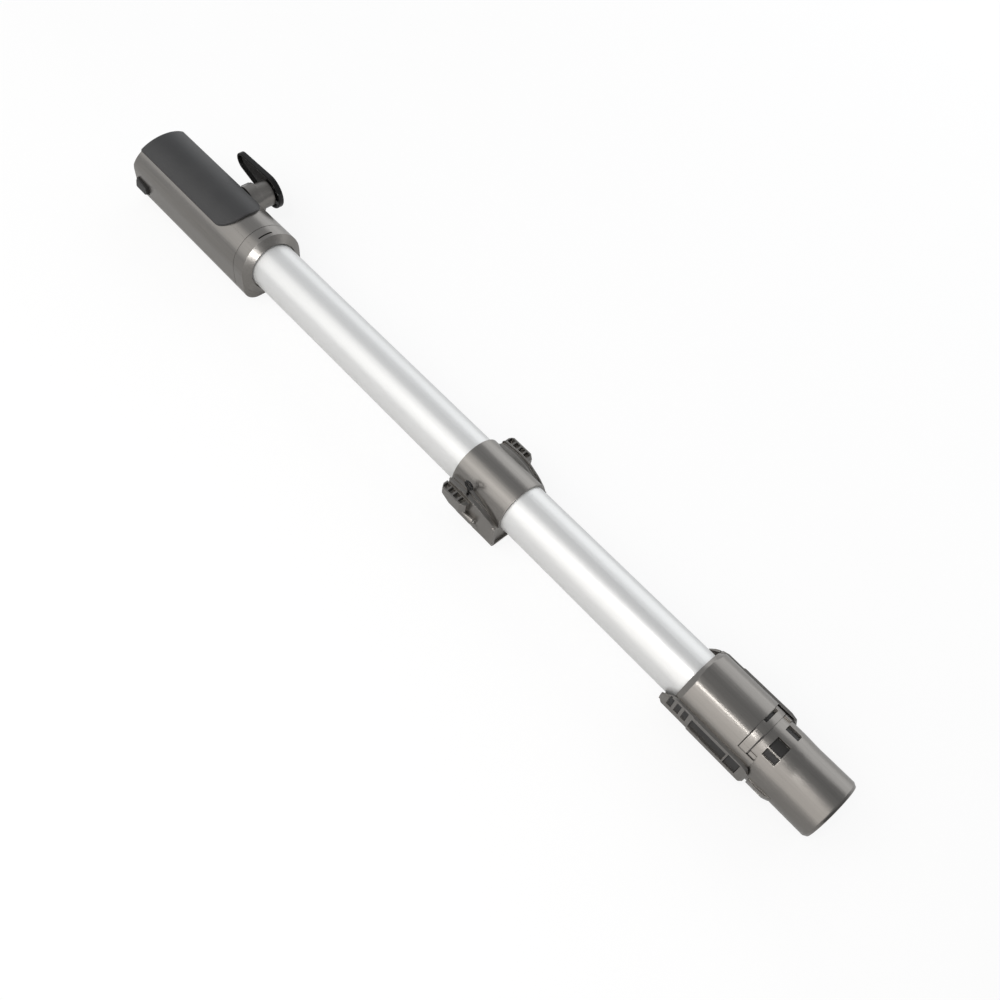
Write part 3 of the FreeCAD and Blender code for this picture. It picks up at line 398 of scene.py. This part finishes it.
def edgedCopy(name, nodeName, width, flat, clamp):
    piece = mergedCopy(nodeName, flat)
    if nodeName == "socket_cuff":
        roundSeam(piece)
    roundEdges(piece, width, clamp=clamp)
    return settle(piece, name, slotOf[nodeName], bodyOf[nodeName], nodeName)


edged = {
    # name: node, width of the rounded edges in mm, whether its triangles merge into flat faces, and
    # whether the rounding is held back where it would overlap
    "socketHousing": ("socket_housing", 0.3, True, False),
    "socketCuff": ("socket_cuff", 0.3, True, True),
    "cordHook": ("cord_hook", 0.6, True, True),
    "clipShell": ("clip_shell", 0.4, False, False),
    "clipSaddle": ("clip_saddle", 0.3, False, False),
    "toolPostLeft": ("tool_post_left", 0.25, False, False),
    "toolPostRight": ("tool_post_right", 0.25, False, False),
    "lowerCollar": ("lower_collar", 0.35, True, True),
    "toolRailLeft": ("tool_rail_left", 0.3, True, True),
    "toolRailRight": ("tool_rail_right", 0.3, True, True),
    "spigotTube": ("spigot", 0.3, False, False),
    "releaseButtonLeft": ("release_button_left", 0.5, True, True),
    "releaseButtonRight": ("release_button_right", 0.5, True, True),
}
for pieceName, (nodeName, width, flat, clamp) in edged.items():
    edgedCopy(pieceName, nodeName, width, flat, clamp)
print("edges rounded")


# Soft panel, with the lip that runs round it

softPanel = {"lip": 0.9, "step": 0.12, "edge": 0.3,
             # its top faces are this near the crown in mm, and face up this much
             "top": 0.3, "facing": 0.5}


def makeSoftPanel():
    piece = mergedCopy("grip_panel")
    only(piece)
    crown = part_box("grip_panel")[1][2]
    bpy.ops.object.mode_set(mode="EDIT")

    def onCrown(face):
        return (Vector((face.center.y, face.center.z)).length > crown - softPanel["top"] * mm
                and face.normal.z > softPanel["facing"])

    pick(piece, "polygons", onCrown)
    bpy.ops.mesh.inset(thickness=softPanel["lip"] * mm, depth=0)
    bpy.ops.mesh.inset(thickness=softPanel["step"] * mm, depth=softPanel["step"] * mm)
    bpy.ops.object.mode_set(mode="OBJECT")
    roundEdges(piece, softPanel["edge"], segments=3)
    settle(piece, "softPanel", "soft_panel", "wand", "grip_panel")


makeSoftPanel()
print("soft panel done")


# Thin bars that follow the round of the wand; lengths in mm, angles from straight up towards +Y

trim = {"edge": 0.08, "merge": 0.002, "lift": 0.02}  # lift is the room left over the floor below


def curvedBar(name, slot, x, reach, angles, steps=12):
    # a small upright rectangle spun about the tube's axis
    middle = (reach[0] + reach[1]) / 2 * mm
    first = math.radians(angles[0])
    bpy.ops.object.select_all(action="DESELECT")
    bpy.ops.mesh.primitive_plane_add(
        size=1, rotation=(math.pi / 2 - first, 0, 0),
        location=((x[0] + x[1]) / 2 * mm, middle * math.sin(first), middle * math.cos(first)))
    piece = bpy.context.object
    piece.scale = ((x[1] - x[0]) * mm, (reach[1] - reach[0]) * mm, 1)
    only(piece)
    bpy.ops.object.transform_apply(location=True, rotation=True, scale=True)
    bpy.ops.object.mode_set(mode="EDIT")
    bpy.ops.mesh.select_all(action="SELECT")
    bpy.ops.mesh.spin(steps=steps, angle=math.radians(angles[1] - angles[0]), center=(0, 0, 0),
                      axis=(1, 0, 0))
    bpy.ops.mesh.select_all(action="SELECT")
    bpy.ops.mesh.remove_doubles(threshold=trim["merge"] * mm)
    bpy.ops.mesh.normals_make_consistent(inside=False)
    bpy.ops.object.mode_set(mode="OBJECT")
    roundEdges(piece, trim["edge"], segments=1)
    return settle(piece, name, slot, "wand")


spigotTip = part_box("spigot")[1][0] / mm

# painted shade: dark plates on the floors of the spigot's three windows stand in for the shade in these
# recesses; side and turn are the room round a plate
windowShadePlates = {"fromTip": 45.8, "long": 8.6, "floor": 18.9, "thick": 0.3, "side": 0.15, "turn": 0.5,
                "angles": ((-39, -26), (-23.5, -1.5), (17, 33))}


def plateReach():
    return windowShadePlates["floor"] + trim["lift"], windowShadePlates["floor"] + windowShadePlates["thick"]


def makeWindowShadePlates():
    start = spigotTip - windowShadePlates["fromTip"]
    side, turn = windowShadePlates["side"], windowShadePlates["turn"]
    for number, (low, high) in enumerate(windowShadePlates["angles"], 1):
        curvedBar("windowShadePlate%d" % number, "dark", (start + side, start + windowShadePlates["long"] - side),
                  plateReach(), (low + turn, high - turn))


# painted shade: a dark plate in the slit of the spigot's ring stands in for the shade inside the slit
ringSlit = {"fromTip": 57.1, "long": 1.7, "angles": (0, 36)}


def makeSlitShadePlate():
    start = spigotTip - ringSlit["fromTip"]
    curvedBar("slitShadePlate", "dark", (start, start + ringSlit["long"]), plateReach(), ringSlit["angles"])


# the collar's inner rim, seen beside the ring at the ends of the collar's front
collarRim = {"fromTip": (51.0, 46.5), "reach": (20.1, 21.6), "angles": ((-68, -47), (40, 68))}


def makeCollarRim():
    span = [spigotTip - back for back in collarRim["fromTip"]]
    for name, angles in zip(("collarRimLeft", "collarRimRight"), collarRim["angles"]):
        curvedBar(name, "shell", span, collarRim["reach"], angles)


# painted shade: a dark bar in the seam between housing and cuff stands in for the shade in the gap
seamShadeLine = {"before": 0.12, "after": 0.18, "reach": (23.5, 24.2), "angles": (-88, 88), "steps": 48}


def makeSeamShadeLine():
    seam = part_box("socket_cuff")[0][0] / mm
    curvedBar("seamShadeLine", "dark", (seam - seamShadeLine["before"], seam + seamShadeLine["after"]),
              seamShadeLine["reach"], seamShadeLine["angles"], seamShadeLine["steps"])


makeWindowShadePlates()
makeSlitShadePlate()
makeCollarRim()
makeSeamShadeLine()
print("thin bars done")


# Painted shade: dark linings in the grooves of the tool rails stand in for the shade inside them, in mm

railShadeLining = {
    "thick": 0.25,
    # along the rail from its upper end, height, and how deep the floor lies in the rail
    "floors": ((5.7, 8.7, -4.1, 6.1, 1.5), (11.1, 14.1, -4.1, 6.1, 1.5), (16.5, 19.5, -4.1, 6.1, 1.5),
               (22.7, 47.8, -5.1, 5.1, 1.5), (49.2, 57.3, -5.1, 6.7, 1.14)),
}


def makeRailShadeLining(name, nodeName, way):
    low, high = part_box(nodeName)
    start = low[0] / mm
    face = max(abs(low[1]), abs(high[1])) / mm
    bpy.ops.object.select_all(action="DESELECT")
    bpy.ops.object.add(type="MESH", location=(0, 0, 0))
    piece = bpy.context.object
    only(piece)
    bpy.ops.object.mode_set(mode="EDIT")
    for first, last, bottom, top, depth in railShadeLining["floors"]:
        middle = ((start + (first + last) / 2) * mm, way * (face - depth + trim["lift"]) * mm,
                  (bottom + top) / 2 * mm)
        bpy.ops.mesh.select_all(action="DESELECT")
        bpy.ops.mesh.primitive_plane_add(size=1, rotation=(math.pi / 2, 0, 0), location=middle)
        bpy.ops.transform.resize(value=((last - first) * mm, 1, (top - bottom) * mm),
                                 center_override=middle)
        bpy.ops.mesh.extrude_region_move(
            TRANSFORM_OT_translate={"value": (0, way * railShadeLining["thick"] * mm, 0)})
    bpy.ops.mesh.select_all(action="SELECT")
    bpy.ops.mesh.normals_make_consistent(inside=False)
    bpy.ops.object.mode_set(mode="OBJECT")
    roundEdges(piece, trim["edge"], segments=1)
    return settle(piece, name, "dark", "wand")


makeRailShadeLining("railShadeLiningLeft", "tool_rail_left", -1)
makeRailShadeLining("railShadeLiningRight", "tool_rail_right", 1)
print("rails lined")


# Loop beside the left post, its wire a little fuller than the node's

clipLoop = {"fuller": 0.13, "edge": 0.05}


def makeClipLoop():
    piece = mergedCopy("clip_loop")
    only(piece)
    bpy.ops.object.mode_set(mode="EDIT")
    bpy.ops.mesh.select_all(action="SELECT")
    bpy.ops.transform.shrink_fatten(value=clipLoop["fuller"] * mm)
    bpy.ops.object.mode_set(mode="OBJECT")
    roundEdges(piece, clipLoop["edge"], segments=1)
    settle(piece, "clipLoop", "hook", "wand", "clip_loop")


makeClipLoop()
print("loop done")


# Leaf springs behind the buttons, drawn at rest; the fixed end is this far from the axis in mm, and
# pressed is the share of its length that a spring keeps when its button is pressed

leafSpring = {"fixedEnd": 17.1, "pressed": 0.69, "edge": 0.06}


def makeLeafSpring(name, side):
    nodeName = "button_spring_" + side
    piece = mergedCopy(nodeName)
    roundEdges(piece, leafSpring["edge"], segments=1)
    settle(piece, name, "steel", "wand", nodeName)
    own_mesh(piece)


makeLeafSpring("leafSpringLeft", "left")
makeLeafSpring("leafSpringRight", "right")
print("leaf springs in")


# Floor and light

paper = {"colour": (0.62, 0.62, 0.62, 1), "glow": 0.75, "white": 1.13, "size": 8, "middle": 0.32,
         "drop": 0.02,  # mm under the wand
         # painted reflection: how white it glows in reflections, dim left of the wand for the shade
         # there, and bright right of it
         "leftGloss": 0.075, "rightGloss": 0.37, "glossTurn": (-0.15, 0.25),
         "farGloss": 0.9, "farTurn": (0.2, 0.5)}


def seenRay(sheet, *kinds):
    # 1 for the kinds of ray that are to see white
    wires = [sheet.node("ShaderNodeLightPath", {}, {}, out=kind) for kind in kinds]
    total = wires[0]
    for wire in wires[1:]:
        total = total.highest(wire)
    return total


def makeFloor():
    bpy.ops.object.select_all(action="DESELECT")
    bpy.ops.mesh.primitive_plane_add(
        size=paper["size"], location=(paper["middle"], 0, cadBox[0][2] - paper["drop"] * mm))
    floor = bpy.context.object
    floor.name = "floor"
    material = bpy.data.materials.new("floorPaper")
    material.use_nodes = True
    sheet = Sheet(material.node_tree)
    sheet.tree.nodes.remove(sheet.tree.nodes["Principled BSDF"])
    matt = sheet.node("ShaderNodeBsdfDiffuse", {}, {"Color": paper["colour"]})
    glow = sheet.node("ShaderNodeEmission", {}, {"Color": (1, 1, 1, 1), "Strength": paper["white"]})
    seen = seenRay(sheet, "Is Camera Ray") * paper["glow"]
    place = sheet.node("ShaderNodeTexCoord", {}, {}, out="Object")
    across = sheet.node("ShaderNodeSeparateXYZ", {}, {0: place}, out="Y")
    # painted reflection and shade: in reflections the floor glows dim left of the wand, standing in for
    # the shade there, and brighter to the right and far right
    gloss = (paper["leftGloss"]
             + across.smooth(*paper["glossTurn"]) * (paper["rightGloss"] - paper["leftGloss"])
             + across.smooth(*paper["farTurn"]) * (paper["farGloss"] - paper["rightGloss"]))
    mirrored = seenRay(sheet, "Is Glossy Ray", "Is Transmission Ray") * gloss
    mix = sheet.node("ShaderNodeMixShader", {}, {0: seen.highest(mirrored), 1: matt, 2: glow})
    sheet.join(mix, sheet.tree.nodes["Material Output"].inputs["Surface"])
    floor.data.materials.append(material)


# a black card before the spigot's end; the camera doesn't see it
blackCard = {"place": (0.82, 0.0, 0.035), "size": (0.24, 0.11), "colour": (0.03, 0.03, 0.03, 1),
             "rough": 0.9}


def makeBlackCard():
    bpy.ops.object.select_all(action="DESELECT")
    bpy.ops.mesh.primitive_plane_add(size=1, rotation=(0, math.pi / 2, 0), location=blackCard["place"])
    card = bpy.context.object
    card.name = "blackCard"
    card.scale = (blackCard["size"][1], blackCard["size"][0], 1)
    material = bpy.data.materials.new("cardBlack")
    material.use_nodes = True
    shader = material.node_tree.nodes["Principled BSDF"]
    shader.inputs["Base Color"].default_value = blackCard["colour"]
    shader.inputs["Roughness"].default_value = blackCard["rough"]
    card.data.materials.append(material)
    card.visible_camera = False


# soft boxes stand round the tube's axis, at an angle from straight up towards +Y; each has its
# middle and length along the wand
softBoxes = {
    "leftFar": {"angle": -44, "spread": 64, "reach": 1.1, "middle": -1.05, "length": 0.9, "glow": 0.74,
                "tint": (1.0, 0.98, 0.95)},
    "leftMid": {"angle": -44, "spread": 64, "reach": 1.1, "middle": -0.23, "length": 0.74, "glow": 1.08,
                "tint": (1.0, 0.98, 0.95)},
    "leftNear": {"angle": -59, "spread": 58, "reach": 1.1, "middle": 0.71, "length": 1.18, "glow": 1.25,
                 "tint": (1.0, 0.965, 0.93)},
    "leftBand": {"angle": -40, "spread": 18, "reach": 1.0, "middle": 0.13, "length": 0.6, "glow": 0.8,
                 "tint": (1.0, 0.98, 0.96)},
    "leftStrip": {"angle": -26, "spread": 12, "reach": 1.0, "middle": 0.5, "length": 0.16, "glow": 14.0,
                  "tint": (1.0, 0.98, 0.96)},
    "rightFar": {"angle": 69, "spread": 40, "reach": 1.2, "middle": -0.85, "length": 1.3, "glow": 0.84,
                 "tint": (0.98, 0.99, 1.0)},
    "rightNear": {"angle": 67, "spread": 46, "reach": 1.2, "middle": 0.55, "length": 1.5, "glow": 1.2,
                  "tint": (0.98, 0.99, 1.0)},
}
fillLamp = {"target": (0.14, 0, 0), "way": (0.963, -0.24, 0.06), "reach": 3.4, "size": 0.6, "glow": 26.0}
# the sky is brighter towards the wand's upper end
sky = {"colour": (0.95, 0.97, 1.0, 1), "near": 0.32, "far": 0.58, "turn": (-0.75, 0.05)}


def addLamp(name, place, target, size, glow, tint=(1, 1, 1)):
    data = bpy.data.lights.new(name, "AREA")
    data.shape = "RECTANGLE"
    data.size, data.size_y = size
    data.energy = glow * math.pi * size[0] * size[1]
    data.color = tint
    lamp = bpy.data.objects.new(name, data)
    aim = (Vector(target) - Vector(place)).normalized()
    along = Vector((1, 0, 0))
    along = (along - aim * along.dot(aim)).normalized()
    turn = Matrix((along, (-aim).cross(along), -aim)).transposed().to_4x4()
    lamp.matrix_world = Matrix.Translation(place) @ turn
    lamp.visible_camera = False
    bpy.context.scene.collection.objects.link(lamp)


def makeLight():
    world = bpy.data.worlds.new("studio")
    bpy.context.scene.world = world
    world.use_nodes = True
    sheet = Sheet(world.node_tree)
    way = sheet.node("ShaderNodeTexCoord", {}, {}, out="Generated")
    near = sheet.node("ShaderNodeSeparateXYZ", {}, {0: way}, out="X").smooth(*sky["turn"])
    strength = sky["far"] + near * (sky["near"] - sky["far"])
    plain = sheet.node("ShaderNodeBackground", {}, {"Color": sky["colour"], "Strength": strength})
    white = sheet.node("ShaderNodeBackground", {}, {"Color": (1, 1, 1, 1), "Strength": 1.0})
    mix = sheet.node("ShaderNodeMixShader", {}, {0: seenRay(sheet, "Is Camera Ray"), 1: plain, 2: white})
    sheet.join(mix, sheet.tree.nodes["World Output"].inputs["Surface"])
    for name, box in softBoxes.items():
        angle, reach = math.radians(box["angle"]), box["reach"]
        place = (box["middle"], reach * math.sin(angle), reach * math.cos(angle))
        width = 2 * reach * math.tan(math.radians(box["spread"] / 2))
        addLamp(name, place, (box["middle"], 0, 0), (box["length"], width), box["glow"], box["tint"])
    way = Vector(fillLamp["way"]).normalized()
    addLamp("fill", Vector(fillLamp["target"]) + way * fillLamp["reach"], fillLamp["target"],
            (fillLamp["size"], fillLamp["size"]), fillLamp["glow"])


makeFloor()
makeBlackCard()
makeLight()
print("floor and light ready")
